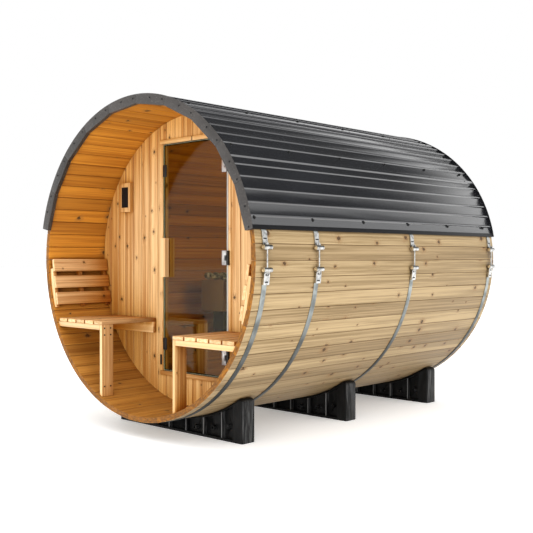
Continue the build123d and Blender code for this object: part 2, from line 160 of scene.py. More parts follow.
# Seal at the hinge side of the doorway, and the black gasket that the glass closes against
seal_width = 0.0065
seal_proud = 0.002
seal_gap_share = 0.25
gasket_width = 0.012
gasket_depth = 0.012
gasket_clearance = 0.0045
gasket_edge_share = 0.25

# Heater stones: subdivisions, depth and scale of their lumps, and reach of their random places
stone_subdivisions = 3
stone_lump_share = 0.28
stone_lump_scale = 1.6
stone_shift = 20

# How far the roof's flat strips lie inside the radius of their edges
roof_sag = 0.0004

# Ridge: how near to the middle the sides' edges lie in the CAD, and the slit left between them in the looks
ridge_reach = 0.00025
ridge_slit = 0.00002

# Noise: its usual detail and roughness, and ranges of its value that carry a change of look
noise_detail = 2.0
noise_roughness = 0.55
noise_range = (0.3, 0.7)
dull_range = (0.35, 0.7)
wide_range = (0.25, 0.75)
brush_range = (0.7, 1.3)
dust_range = (0.55, 0.75)
ring_range = (0.35, 0.65)
scuff_range = (0.4, 0.74)
stone_highlight_range = (0.47, 0.68)

# Woods: colours, tones of the boards, strength of streaks, knots per cell and their sizes, painted shade in
# corners
Wood = namedtuple("Wood", "pale deep tones streaks knot_share knot_size_shares corner_reach corner_powers")
stave_look = Wood(
    pale=(0.61, 0.255, 0.023, 1),
    deep=(0.39, 0.137, 0.009, 1),
    tones=(0.76, 1.14),
    streaks=1.2,
    knot_share=0.6,
    knot_size_shares=(0.028, 0.09),
    corner_reach=0.06,
    corner_powers=(0.6, 0.75, 1.05),
)
wall_look = Wood(
    pale=(0.78, 0.52, 0.26, 1),
    deep=(0.48, 0.235, 0.075, 1),
    tones=(0.88, 1.07),
    streaks=1.25,
    knot_share=0.9,
    knot_size_shares=(0.022, 0.06),
    corner_reach=0.4,
    corner_powers=(0.33, 0.64, 1.6),
)
bench_look = Wood(
    pale=(0.71, 0.44, 0.21, 1),
    deep=(0.42, 0.2, 0.066, 1),
    tones=(0.82, 1.1),
    streaks=1.2,
    knot_share=0.5,
    knot_size_shares=(0.02, 0.055),
    corner_reach=0.32,
    corner_powers=(0.5, 1.15, 2.9),
)

# Deep and pale colours of the staves' weathered outside and of cut ends
worn_colours = ((0.265, 0.18, 0.081, 1), (0.46, 0.335, 0.183, 1))
stave_end_colours = ((0.16, 0.055, 0.001, 1), (0.4, 0.15, 0.004, 1))
bench_end_colours = ((0.62, 0.38, 0.16, 1), (0.84, 0.6, 0.34, 1))

# Figure of wood: scales along, across and through a board for bands, lines and fibres, and their shares
figure_scales = ((0.5, 24.0, 12.0), (1.2, 95.0, 50.0), (8.0, 480.0, 250.0))
figure_shares = (0.36, 0.48, 0.16)
figure_middle = 0.5
figure_half = 0.13
fibre_relief_share = 0.5
grain_shift = 40

# Tints of the darkest and lightest boards and of cut ends, growth rings, and how square to y an end is
dark_board = (1.0, 0.95, 0.88)
light_board = (1.0, 1.0, 0.98)
end_tints = ((0.78, 0.75, 0.7, 1), (1.12, 1.1, 1.08, 1))
ring_noise = ((0.0, 36.0, 120.0), 4.0)
end_facing = (0.75, 0.95)

# Weathering: depths through a stave from inside to outside; painted shade: tints from low to high on either
# side
weather_depth_shares = (0.45, 0.8)
inner_height_shares = (-0.9, 0.1)
inner_shade_tints = ((0.67, 0.7, 1.3, 1), (0.96, 0.93, 0.95, 1))
outer_height_shares = (-1.0, -0.4)
outer_shade_tints = ((0.72, 0.72, 0.72, 1), (1, 1, 1, 1))

# Joints between boards: their colour, how much of it shows, and the depths of a stave that count as joint
joint_colour = (0.1, 0.045, 0.012, 1)
board_joint_share = 0.5
stave_joint_shares = (0.4, 0.62)
stave_joint_depth_shares = (0.07, 0.94)

# Knots: cells per metre, spread of sizes, uneven outline, and reach of core, halo and bend in knot sizes
knot_cells = 7.5
knot_length_share = 0.75
knot_power = 1.3
knot_outline_scale = 110.0
knot_outline = (0.65, 1.4)
knot_reaches = ((0.75, 1.15), (0.9, 3.2), (0.5, 7.0))
knot_bend = 0.004
inner_knot_share = 0.6
core_colour = (0.06, 0.027, 0.007, 1)
core_share = 0.9
halo_colour = (0.24, 0.11, 0.03, 1)
halo_share = 0.5

# Painted shade in corners: openness that counts as shut and as open, and the least that is left
open_range = (0.05, 0.95)
painted_shade_floor_share = 0.2
painted_shade_samples = 8

# Surface of wood
wood_rough = (0.48, 0.66)
wood_gloss = 0.35
wood_relief = 0.0006
wood_relief_strength = 0.6

# Paints: colour, how far clouds change it, roughness, gloss, dust and refractive index
Paint = namedtuple("Paint", "colour spread rough gloss grit index")
roof_look = Paint((0.0085, 0.0092, 0.0115), 0.3, (0.1, 0.17), 1.0, 0.04, 1.65)
trim_look = Paint((0.03, 0.026, 0.0235), 0.45, (0.45, 0.62), 0.5, 0.3, 1.5)
eave_look = Paint((0.006, 0.006, 0.007), 0.2, (0.3, 0.4), 0.1, 0.05, 1.5)
heater_look = Paint((0.36, 0.262, 0.22), 0.15, (0.4, 0.55), 0.5, 0.2, 1.5)
plinth_look = Paint((0.022, 0.018, 0.014), 0.2, (0.5, 0.65), 0.5, 0.2, 1.5)

# All paint: scales of clouds with their detail, of waves, dents and dust, relief, and the clear coat
paint_noise = ((3.0, 1.2, 3.0), 4.0)
wave_scale = (9.0, 0.8, 9.0)
dent_scale = 22.0
dent_share = 0.03
dust_scale = 140.0
dust_colour = (0.3, 0.28, 0.26, 1)
paint_relief = 0.005
coat_share = 0.4
coat_roughness = 0.15

# Steels: colour, roughness, scales of the brushed streaks, and scale of the dull patches
Steel = namedtuple("Steel", "colour rough streak patch_scale")
hoop_look = Steel((0.5, 0.54, 0.53, 1), (0.38, 0.55), (60.0, 900.0, 60.0), 14.0)
bright_look = Steel((0.72, 0.72, 0.7, 1), (0.1, 0.26), (60.0, 500.0, 60.0), 45.0)
hinge_look = Steel((0.72, 0.72, 0.71, 1), (0.35, 0.5), (60.0, 60.0, 700.0), 14.0)
# Caps at the trunnions' front ends: steel tinted cream as a painted reflection of the wood
cap_reflection_look = Steel((0.82, 0.66, 0.42, 1), (0.2, 0.34), (60.0, 500.0, 60.0), 60.0)
heater_end_look = Steel((0.75, 0.74, 0.72, 1), (0.3, 0.42), (60.0, 60.0, 700.0), 14.0)

# All steel: detail and tone of the patches, relief, and painted shade on the hoops low on the barrel
patch_detail = 4.0
dull_share = 0.5
brush_relief = 0.0002
brush_relief_strength = 0.4
hoop_shade_colour = (0.055, 0.06, 0.06, 1)
hoop_shade_height_shares = (-0.75, 0.0)

# Black metal: speckle, colours, roughness, and gloss of hardware, screws and the vent
speck_scale = 400.0
black_colours = ((0.004, 0.004, 0.004, 1), (0.014, 0.014, 0.014, 1))
black_rough = (0.35, 0.5)
speck_relief = 0.0002
speck_relief_strength = 0.3
black_gloss = 0.35
screw_gloss = 0.3
vent_gloss = 0.1

# Moulded plastic: pores, scuffs with a painted sheen that show on faces turned to the sides, and rib fronts
# painted pale as a highlight
pore_noise = (320.0, 3.0)
scuff_noise = ((60.0, 60.0, 5.0), 4.0, 0.7)
scuff_and_sheen_facing = (0.6, 0.95, 0.08)
plastic_colours = ((0.002, 0.002, 0.002, 1), (0.006, 0.006, 0.006, 1))
scuff_and_sheen_colour = (0.1, 0.1, 0.1, 1)
rib_highlight_colour = (0.14, 0.14, 0.14, 1)
plastic_rough = (0.3, 0.48)
plastic_gloss = 0.12
plastic_relief = 0.0006
plastic_relief_strength = 0.4

# Glass: tint and refractive index, and the clouds, colours and roughness of its ground edge and of the seal
glass_colour = (0.695, 0.62, 0.29, 1)
glass_index = 1.235
rim_noise = (90.0, 3.0)
rim_colours = ((0.42, 0.52, 0.47, 1), (0.72, 0.8, 0.75, 1))
rim_rough = (0.25, 0.45)
seal_noise = (60.0, 3.0)
seal_colours = ((0.48, 0.46, 0.43, 1), (0.64, 0.62, 0.59, 1))
seal_rough = (0.4, 0.6)

# Stone: scale, detail and roughness of its noise, dark colour and pale spots painted as highlights, roughness
# and relief
stone_noise = (38.0, 6.0, 0.7)
stone_colour_and_highlight = ((0.07, 0.064, 0.06, 1), (0.86, 0.83, 0.8, 1))
stone_rough = (0.75, 0.95)
stone_relief = 0.004
stone_relief_strength = 0.7

# Floor: half its side, clouds, colours, roughness and a glow that keeps shadows pale
floor_half = 60
floor_noise = (3.0, 3.0)
floor_colours = ((0.92, 0.92, 0.92, 1), (0.95, 0.95, 0.95, 1))
floor_roughness = 0.8
floor_glow = 0.28

# Colour of the floor's glow and of the sky
white = (1, 1, 1, 1)

# Sky: it darkens along a slope, upward, to the right and behind, between two heights with these levels
sky_slope = (0.2, 0.6, 1.0)
sky_heights = (0.84, 1.05)
sky_levels = (1.0, 0.1)

# Overhead light: spread and lean in degrees, and strength
overhead_spread = 100
overhead_lean = 25
overhead_strength = 2.15

# Lamps: place, width and height, power, colour
front_lamp = ((1.5, front_y-6.0, 0.6), (5.0, 0.8), 165, (1, 1, 1))
side_lamp = ((7.0, front_y+0.5, 3.0), (4.5, 4.5), 25, (1, 1, 1))
cabin_lamp = ((0.5, middle_y+0.3, axis_z+0.45), (0.3, 0.3), 6.8, (1.0, 0.97, 0.85))

seed = 7


def new_object(name, mesh, body="cabin"):
    """A piece in the scene that rides on a body."""
    piece = bpy.data.objects.new(name, mesh)
    bpy.context.scene.collection.objects.link(piece)
    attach(piece, body)
    return piece


def shade(mesh):
    """Smooth shading with sharp edges past an angle."""
    for face in mesh.polygons:
        face.use_smooth = True
    mesh.set_sharp_from_angle(angle=math.radians(smooth_angle))


def merged(node):
    """Mesh of a CAD node with its split corners joined and its flat faces whole."""
    bm = bmesh.new()
    bm.from_mesh(nodes[node].data)
    bmesh.ops.remove_doubles(bm, verts=bm.verts, dist=merge_distance)
    bmesh.ops.dissolve_limit(bm, angle_limit=math.radians(flat_angle), verts=bm.verts, edges=bm.edges)
    return bm


def bevelled(node, edge, sharp=round_angle, segments=edge_segments):
    """A CAD node's mesh with its sharp edges rounded."""
    bm = merged(node)
    edges = []
    for e in bm.edges:
        if len(e.link_faces) == 2 and e.calc_face_angle(0) > math.radians(sharp):
            edges.append(e)
    bmesh.ops.bevel(bm, geom=edges, offset=edge, segments=segments, profile=round_profile,
                    affect="EDGES", clamp_overlap=True)
    bmesh.ops.dissolve_degenerate(bm, dist=sliver_size, edges=bm.edges)
    return bm


def islands(bm):
    """Connected groups of vertices."""
    left = set(bm.verts)
    found = []
    while left:
        group = [left.pop()]
        for v in group:
            for e in v.link_edges:
                w = e.other_vert(v)
                if w in left:
                    left.remove(w)
                    group.append(w)
        found.append(group)
    return sorted(found, key=lambda g: min(v.index for v in g))


def corners_of(group):
    """Lowest and highest corner of a group of vertices."""
    low = Vector([min(v.co[i] for v in group) for i in range(3)])
    high = Vector([max(v.co[i] for v in group) for i in range(3)])
    return low, high


def solid_boxes(node):
    """Lowest and highest corner of each solid of a CAD node."""
    bm = merged(node)
    bm.verts.index_update()
    boxes = [corners_of(group) for group in islands(bm)]
    bm.free()
    return boxes


def straight_grain(group):
    """Grain coordinates of a straight board: along its longest side, then across, then through."""
    low, high = corners_of(group)
    order = sorted(range(3), key=lambda i: low[i]-high[i])
    return [tuple(v.co[i]-low[i] for i in order) for v in group]


def upright_grain(group):
    """Grain coordinates of an upright board."""
    return [(v.co.z, v.co.x, v.co.y) for v in group]


def radius_of(v):
    """Distance of a vertex from the barrel's axis."""
    return math.hypot(v.co.x, v.co.z-axis_z)


def stave_grain(group):
    """Grain coordinates of a stave: along the barrel, round it, and outward."""
    found = []
    for v in group:
        turn = math.atan2(v.co.z-axis_z, v.co.x)
        found.append((v.co.y, turn*barrel_radius, radius_of(v)))
    return found


def stave_depth(v):
    """0 on the inside of the barrel, 1 on its outside."""
    return min(1, max(0, (radius_of(v)-bore_radius)/(barrel_radius-bore_radius)))


def stave_joint(v):
    """1 at the foot of the chamfers between staves, 0 on their faces."""
    inside, outside = stave_joint_depth_shares
    return 1 if inside < stave_depth(v) < outside else 0


def wall_joint(v):
    """1 at the foot of the grooves between wall boards, 0 on their faces."""
    half = (wall_back_y-wall_y)/2
    middles = ((wall_y+wall_back_y)/2, (rear_low.y+rear_high.y)/2)
    return 1 if min(abs(v.co.y-y) for y in middles) < half-board_groove/2 else 0


def no_joint(v):
    """Boards that stand apart."""
    return 0


def random_place(rng, reach):
    """A random place in a cube."""
    return Vector([rng.uniform(0, reach) for _ in range(3)])


def wooden(bm, name, grain=straight_grain, joint=no_joint):
    """A mesh of boards with grain coordinates and a tone of its own on each board."""
    rng = random.Random(name+str(seed))
    bm.verts.index_update()
    values = {}
    for group in islands(bm):
        shift = random_place(rng, grain_shift)
        tone = rng.random()
        for v, place in zip(group, grain(group)):
            values[v.index] = (Vector(place)+shift, tone, stave_depth(v), joint(v))
    mesh = plain(bm, name)
    ordered = [values[i] for i in range(len(mesh.vertices))]
    vectors = mesh.attributes.new("grain", "FLOAT_VECTOR", "POINT")
    vectors.data.foreach_set("vector", [c for row in ordered for c in row[0]])
    for i, key in enumerate(("tone", "weather", "joint"), start=1):
        layer = mesh.attributes.new(key, "FLOAT", "POINT")
        layer.data.foreach_set("value", [row[i] for row in ordered])
    return mesh


def plain(bm, name):
    """A shaded mesh of an edited one, which is freed."""
    mesh = bpy.data.meshes.new(name)
    bm.to_mesh(mesh)
    bm.free()
    shade(mesh)
    return mesh


def dress(node, mesh, material, body="cabin"):
    """Put a mesh in the place of a CAD node."""
    mesh.materials.append(material)
    piece = new_object(mesh.name, mesh, body)
    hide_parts(node)
    return piece


def edged(node, edge, suffix, material, body="cabin"):
    """Dress a CAD node in its own mesh with rounded edges."""
    return dress(node, plain(bevelled(node, edge), node+suffix), material, body)


def add_piece(name, bm, material):
    """A piece of the scene's own, which rides on the cabin."""
    mesh = plain(bm, name)
    mesh.materials.append(material)
    new_object(name, mesh)


def second_material(piece, material, axis, facing):
    """Another material on the faces that face along an axis, or on those that don't."""
    piece.data.materials.append(material)
    for face in piece.data.polygons:
        along_axis = abs(face.normal[axis]) > facing_share
        face.material_index = 1 if along_axis == facing else 0


class Shader:
    """Small helper that adds nodes to one material and links them."""

    def __init__(self, name):
        self.material = bpy.data.materials.new(name)
        self.material.use_nodes = True
        self.nodes = self.material.node_tree.nodes
        self.links = self.material.node_tree.links
        self.bsdf = self.nodes["Principled BSDF"]

    def set(self, **values):
        """Plain values on the shader's own sockets; a name's underscores stand for spaces."""
        for key, value in values.items():
            self.bsdf.inputs[key.replace("_", " ")].default_value = value

    def put(self, key, output):
        """Link an output to a socket of the shader."""
        self.links.new(output, self.bsdf.inputs[key])

    def add(self, kind, inputs=(), **settings):
        """A node with its settings and inputs, which are outputs to link or plain values."""
        node = self.nodes.new(kind)
        for key, value in settings.items():
            setattr(node, key, value)
        for key, value in dict(inputs).items():
            if isinstance(value, bpy.types.NodeSocket):
                self.links.new(value, node.inputs[key])
            else:
                node.inputs[key].default_value = value
        return node

    def math(self, operation, a, b=0.0):
        """One arithmetic step."""
        return self.add("ShaderNodeMath", {0: a, 1: b}, operation=operation).outputs[0]

    def mix(self, factor, a, b, blend="MIX"):
        """Two colours mixed by a factor."""
        node = self.add("ShaderNodeMix", {0: factor, 6: a, 7: b}, data_type="RGBA", blend_type=blend)
        return node.outputs[2]

    def tinted(self, colour, tint):
        """A colour multiplied by a tint."""
        return self.mix(1.0, colour, tint, "MULTIPLY")

    def span(self, value, low, high, to_low=0.0, to_high=1.0):
        """A value carried smoothly from one range to another."""
        node = self.add("ShaderNodeMapRange", {0: value, 1: low, 2: high, 3: to_low, 4: to_high},
                        interpolation_type="SMOOTHSTEP")
        return node.outputs[0]

    def stretch(self, vector, scale):
        """A vector with its parts scaled."""
        return self.add("ShaderNodeVectorMath", {0: vector, 1: scale}, operation="MULTIPLY").outputs[0]

    def noise(self, vector, scale, detail=noise_detail, rough=noise_roughness):
        """Noise between 0 and 1, at one scale or at a scale for each direction."""
        if isinstance(scale, tuple):
            vector = self.stretch(vector, scale)
            scale = 1.0
        node = self.add("ShaderNodeTexNoise", {"Vector": vector, "Scale": scale, "Detail": detail,
                                               "Roughness": rough})
        return node.outputs[0]

    def attribute(self, name):
        """A value stored on the mesh."""
        return self.add("ShaderNodeAttribute", attribute_name=name)

    def place(self):
        """Place on the piece in metres."""
        return self.add("ShaderNodeTexCoord").outputs["Object"]

    def height(self, low, high):
        """0 to 1 between two heights from the barrel's axis, as shares of its radius."""
        place = self.add("ShaderNodeSeparateXYZ", {0: self.place()})
        return self.span(place.outputs[2], axis_z+low*barrel_radius, axis_z+high*barrel_radius)

    def facing(self, axis, low, high, least=0.0):
        """From the least value to 1 as a face turns to look along an axis, either way."""
        normal = self.add("ShaderNodeNewGeometry").outputs["Normal"]
        parts = self.add("ShaderNodeSeparateXYZ", {0: normal})
        return self.span(self.math("ABSOLUTE", parts.outputs[axis]), low, high, least)

    def rough(self, value, limits, between=noise_range):
        """Roughness between two limits as a value goes through a range."""
        self.put("Roughness", self.span(value, *between, *limits))

    def bump(self, height, distance, strength=1.0):
        """Relief on the shader's normal."""
        node = self.add("ShaderNodeBump", {"Height": height, "Distance": distance, "Strength": strength})
        self.put("Normal", node.outputs[0])


def scaled(colour, share):
    """A colour made darker or lighter."""
    return tuple(c*share for c in colour[:3])+(1,)


def wood(name, look, outside=None, ends=None):
    """Softwood along the boards: streaks that bend round small dark knots, and a tone per board."""
    s = Shader(name)
    grain = s.attribute("grain").outputs["Vector"]
    tone = s.attribute("tone").outputs["Fac"]
    knots = look.knot_share
    joint_share = board_joint_share
    if outside is not None:
        weather = s.span(s.attribute("weather").outputs["Fac"], *weather_depth_shares)
        knots = s.span(weather, 0.0, 1.0, inner_knot_share*look.knot_share, look.knot_share)
        joint_share = s.span(weather, 0.0, 1.0, *stave_joint_shares)
    core, halo, swirl = knot_masks(s, grain, knots, look.knot_size_shares)
    figure, relief = wood_figure(s, grain, swirl)
    half = figure_half/look.streaks
    pale_share = s.span(figure, figure_middle-half, figure_middle+half)
    colour = s.mix(pale_share, look.deep, look.pale)
    if outside is not None:
        # Inside and outside colours mixed through the stave, both with painted shade low on the barrel.
        colour = weathered(s, colour, s.mix(pale_share, *outside), weather)
    dark_tone, light_tone = look.tones
    colour = s.tinted(colour, s.mix(tone, scaled(dark_board, dark_tone), scaled(light_board, light_tone)))
    colour = s.mix(s.math("MULTIPLY", halo, halo_share), colour, halo_colour)
    colour = s.mix(s.math("MULTIPLY", core, core_share), colour, core_colour)
    if ends is not None:
        colour = s.mix(s.facing(y_axis, *end_facing), colour, end_grain(s, grain, tone, ends))
    # Painted shade where other pieces stand close in front of the wood.
    colour = s.tinted(colour, crevice(s, look.corner_reach, look.corner_powers))
    joint = s.math("MULTIPLY", s.attribute("joint").outputs["Fac"], joint_share)
    s.put("Base Color", s.mix(joint, colour, joint_colour))
    s.rough(figure, wood_rough)
    s.set(Specular_IOR_Level=wood_gloss)
    s.bump(s.math("SUBTRACT", relief, core), wood_relief, wood_relief_strength)
    return s.material


def wood_figure(s, grain, swirl):
    """Bands, lines and fibres along the grain, bent aside at knots, and the relief of lines and fibres."""
    parts = s.add("ShaderNodeSeparateXYZ", {0: grain})
    bent = s.math("ADD", parts.outputs[1], s.math("MULTIPLY", swirl, knot_bend))
    place = s.add("ShaderNodeCombineXYZ", {0: parts.outputs[0], 1: bent, 2: parts.outputs[2]}).outputs[0]
    layers = [s.noise(place, scale) for scale in figure_scales]
    bands, lines, fibres = [s.math("MULTIPLY", layer, share) for layer, share in zip(layers, figure_shares)]
    figure = s.math("ADD", s.math("ADD", bands, lines), fibres)
    relief = s.math("ADD", layers[1], s.math("MULTIPLY", layers[2], fibre_relief_share))
    return figure, relief


def weathered(s, inner, outer, weather):
    """The inside's colour turning to the outside's through a stave, both with painted shade darker low on the
    barrel.
    """
    inner = s.tinted(inner, s.mix(s.height(*inner_height_shares), *inner_shade_tints))
    outer = s.tinted(outer, s.mix(s.height(*outer_height_shares), *outer_shade_tints))
    return s.mix(weather, inner, outer)


def knot_masks(s, grain, knots, knot_size_shares):
    """Masks of the dark knots, the ring round them, and how far the grain bends aside."""
    places = s.stretch(grain, (knot_cells*knot_length_share, knot_cells, 0.0))
    cells = s.add("ShaderNodeTexVoronoi", {"Vector": places, "Scale": 1.0},
                  feature="F1", voronoi_dimensions="2D")
    chance = s.add("ShaderNodeSeparateColor", {0: cells.outputs["Color"]})
    present = s.math("LESS_THAN", chance.outputs[0], knots)
    size = s.span(s.math("POWER", chance.outputs[1], knot_power), 0.0, 1.0, *knot_size_shares)
    uneven = s.span(s.noise(grain, knot_outline_scale), *noise_range, *knot_outline)
    reach = s.math("MULTIPLY", s.math("DIVIDE", cells.outputs["Distance"], size), uneven)
    masks = [s.span(reach, low, high, 1.0, 0.0) for low, high in knot_reaches]
    return [s.math("MULTIPLY", mask, present) for mask in masks]


def crevice(s, reach, powers):
    """Painted shade: deeper colour where other pieces stand close in front of the surface."""
    hidden = s.add("ShaderNodeAmbientOcclusion", {"Distance": reach}, samples=painted_shade_samples)
    open_share = s.span(hidden.outputs["AO"], *open_range, painted_shade_floor_share)
    channels = {i: s.math("POWER", open_share, power) for i, power in enumerate(powers)}
    return s.add("ShaderNodeCombineColor", channels).outputs[0]


def end_grain(s, grain, tone, colours):
    """Growth rings on a cut end."""
    rings = s.noise(grain, *ring_noise)
    cut = s.mix(s.span(rings, *ring_range), *colours)
    return s.tinted(cut, s.mix(tone, *end_tints))


def painted_sheet(name, look):
    """Satin paint on folded sheet: faint clouds, fine dust, dents and long waves."""
    s = Shader(name)
    place = s.place()
    clouds = s.noise(place, *paint_noise)
    deep = scaled(look.colour, 1-look.spread)
    pale = scaled(look.colour, 1+look.spread)
    tint = s.mix(s.span(clouds, *noise_range), deep, pale)
    dust = s.span(s.noise(place, dust_scale), *dust_range)
    s.put("Base Color", s.mix(s.math("MULTIPLY", dust, look.grit), tint, dust_colour))
    s.rough(clouds, look.rough, wide_range)
    s.set(IOR=look.index, Specular_IOR_Level=look.gloss)
    s.set(Coat_Weight=look.gloss*coat_share, Coat_Roughness=coat_roughness)
    dents = s.math("MULTIPLY", s.noise(place, dent_scale), dent_share)
    s.bump(s.math("ADD", s.noise(place, wave_scale), dents), paint_relief)
    return s.material


def steel(name, look, painted_low_shade=None):
    """Bare steel with brushed streaks and dull patches, and painted shade darker low on the barrel when a
    colour for it is given.
    """
    s = Shader(name)
    place = s.place()
    brush = s.noise(place, look.streak)
    patches = s.noise(place, look.patch_scale, patch_detail)
    tint = s.mix(s.span(patches, *dull_range), look.colour, scaled(look.colour, dull_share))
    # Painted shade: the hoops darker low on the barrel.
    if painted_low_shade is not None:
        tint = s.mix(s.height(*hoop_shade_height_shares), painted_low_shade, tint)
    s.put("Base Color", tint)
    s.rough(s.math("ADD", brush, patches), look.rough, brush_range)
    s.set(Metallic=1.0)
    s.bump(brush, brush_relief, brush_relief_strength)
    return s.material


def black_metal(name, gloss):
    """Black satin hardware."""
    s = Shader(name)
    speck = s.noise(s.place(), speck_scale)
    s.put("Base Color", s.mix(speck, *black_colours))
    s.rough(speck, black_rough)
    s.set(Specular_IOR_Level=gloss)
    s.bump(speck, speck_relief, speck_relief_strength)
    return s.material


def moulded_plastic(name):
    """Black moulded plastic with a fine grain, with scuffs in streaks and a painted sheen on its ends, and
    rib fronts painted pale as a highlight.
    """
    s = Shader(name)
    place = s.place()
    pores = s.noise(place, *pore_noise)
    scuffs = s.span(s.noise(place, *scuff_noise), *scuff_range)
    # Scuffs with a painted sheen, only on the faces turned to the sides.
    scuff_and_sheen = s.math("MULTIPLY", scuffs, s.facing(x_axis, *scuff_and_sheen_facing))
    tint = s.mix(scuff_and_sheen, s.mix(pores, *plastic_colours), scuff_and_sheen_colour)
    # Rib fronts painted pale as a highlight.
    s.put("Base Color", s.mix(s.attribute("rib_highlight").outputs["Fac"], tint, rib_highlight_colour))
    s.rough(pores, plastic_rough)
    s.set(Specular_IOR_Level=plastic_gloss)
    s.bump(s.math("ADD", pores, scuffs), plastic_relief, plastic_relief_strength)
    return s.material


def tinted_glass():
    """Bronze safety glass."""
    s = Shader("bronze_glass")
    s.set(Base_Color=glass_colour, Roughness=0.0, IOR=glass_index, Transmission_Weight=1.0)
    return s.material


def cloudy(name, cloud_noise, colours, rough):
    """A smooth surface with soft clouds of two colours: the glass's ground edge, or the rubbery seal."""
    s = Shader(name)
    cloud = s.noise(s.place(), *cloud_noise)
    s.put("Base Color", s.mix(cloud, *colours))
    s.rough(cloud, rough)
    return s.material


def stone():
    """Grey heater stones, dark with pale spots painted as highlights."""
    s = Shader("heater_stone")
    cloud = s.noise(s.place(), *stone_noise)
    # Pale spots painted as highlights on the dark stone.
    s.put("Base Color", s.mix(s.span(cloud, *stone_highlight_range), *stone_colour_and_highlight))
    s.rough(cloud, stone_rough)
    s.bump(cloud, stone_relief, stone_relief_strength)
    return s.material


def pale_floor():
    """Pale matt floor with a faint glow."""
    s = Shader("floor_pale")
    s.put("Base Color", s.mix(s.noise(s.place(), *floor_noise), *floor_colours))
    s.set(Roughness=floor_roughness, Emission_Color=white, Emission_Strength=floor_glow)
    return s.material


def skin(bm, rings):
    """Faces from each ring of vertices to the next, and over the first and the last."""
    for lower, upper in zip(rings, rings[1:]):
        count = len(lower)
        for i in range(count):
            j = (i+1) % count
            bm.faces.new((lower[i], lower[j], upper[j], upper[i]))
    bm.faces.new(rings[0][::-1])
    bm.faces.new(rings[-1])


def plank(bm, x0, x1, limits, grooved, faces_y):
    """One upright board between two x places; limits gives its foot and top at an x."""
    near, far = faces_y
    groove_left = board_groove if grooved[0] else 0
    groove_right = board_groove if grooved[1] else 0
    xs = [x0]
    if groove_left:
        xs.append(x0+groove_left)
    inner_left, inner_right = x0+groove_left, x1-groove_right
    xs += [inner_left+(inner_right-inner_left)*i/board_steps for i in range(1, board_steps)]
    xs.append(inner_right)
    if groove_right:
        xs.append(x1)
    columns = []
    for x in xs:
        low, high = limits(x)
        sunk = 0
        if (groove_left and x == x0) or (groove_right and x == x1):
            sunk = board_groove
        corners = ((near+sunk, low), (far-sunk, low), (far-sunk, high), (near+sunk, high))
        columns.append([bm.verts.new((x, y, z)) for y, z in corners])
    skin(bm, columns)


def disc_limits(low=None, high=None):
    """Foot and top of a board in the round wall, cut off level at low or high."""
    def limits(x):
        half = math.sqrt(max(0, bore_radius**2-x**2))
        foot = axis_z-half if low is None else low
        top = axis_z+half if high is None else high
        return foot, top
    return limits


def board_spans(x0, x1):
    """Places of the boards between two x places, with which of their sides have a groove."""
    first = math.floor((x0-board_joint_x)/board_pitch)
    edge = board_joint_x+first*board_pitch
    found = []
    while edge < x1:
        left, right = max(x0, edge), min(x1, edge+board_pitch)
        if right-left > least_board_grooves*board_groove:
            found.append((left, right-board_space, (left > x0, right < x1)))
        edge += board_pitch
    return found


def board_wall(node, material, low=None, high=None, hole=None):
    """A wall of upright boards with grooves at their joints, in the place of a CAD wall."""
    box_low, box_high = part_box(node)
    bm = bmesh.new()
    faces_y = (box_low.y, box_high.y)
    for x0, x1, grooved in board_spans(box_low.x+board_margin, box_high.x-board_margin):
        if hole is None or x1 <= hole[0].x or x0 >= hole[1].x:
            plank(bm, x0, x1, disc_limits(low, high), grooved, faces_y)
            continue
        if x0 < hole[0].x:
            plank(bm, x0, hole[0].x, disc_limits(low, high), (grooved[0], False), faces_y)
        if x1 > hole[1].x:
            plank(bm, hole[1].x, x1, disc_limits(low, high), (False, grooved[1]), faces_y)
        cut_left, cut_right = max(x0, hole[0].x), min(x1, hole[1].x)
        sides = (grooved[0] and cut_left == x0, grooved[1] and cut_right == x1)
        plank(bm, cut_left, cut_right, disc_limits(low, hole[0].z), sides, faces_y)
        plank(bm, cut_left, cut_right, disc_limits(hole[1].z, high), sides, faces_y)
    bmesh.ops.dissolve_degenerate(bm, dist=sliver_size, edges=bm.edges)
    bmesh.ops.recalc_face_normals(bm, faces=bm.faces)
    dress(node, wooden(bm, node+"_boards", upright_grain, wall_joint), material)


def make_walls(material):
    """The two walls across the barrel."""
    board_wall("wall_front_left", material, hole=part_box("vent_grille"))
    board_wall("wall_front_right", material)
    board_wall("wall_front_over", material, low=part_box("wall_front_over")[0].z)
    board_wall("wall_front_sill", material, high=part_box("wall_front_sill")[1].z)
    board_wall("wall_rear", material)


def make_wood():
    """Staves, walls, benches, frame and handles."""
    stave_wood = wood("stave_wood_grain", stave_look, worn_colours, stave_end_colours)
    wall_wood = wood("wall_wood_grain", wall_look)
    bench_wood = wood("bench_wood_grain", bench_look, ends=bench_end_colours)
    for quarter in ("low_right", "high_right", "high_left", "low_left"):
        node = "staves_"+quarter
        mesh = wooden(bevelled(node, stave_edge), node+"_boards", stave_grain, stave_joint)
        dress(node, mesh, stave_wood)
    make_walls(wall_wood)
    for node in ("door_jambs", "door_head", "door_threshold", "vent_frame"):
        dress(node, wooden(bevelled(node, frame_edge), node+"_wood"), wall_wood)
    kinds = ("seat", "frame", "back")
    benches = ["porch_%s_%s" % (kind, side) for kind in kinds for side in ("left", "right")]
    for node in benches+["inner_seat", "inner_frame"]:
        dress(node, wooden(bevelled(node, bench_edge), node+"_wood"), bench_wood)
    handles = bevelled("door_handles", handle_edge, segments=handle_segments)
    dress("door_handles", wooden(handles, "door_handles_wood"), bench_wood, "door")


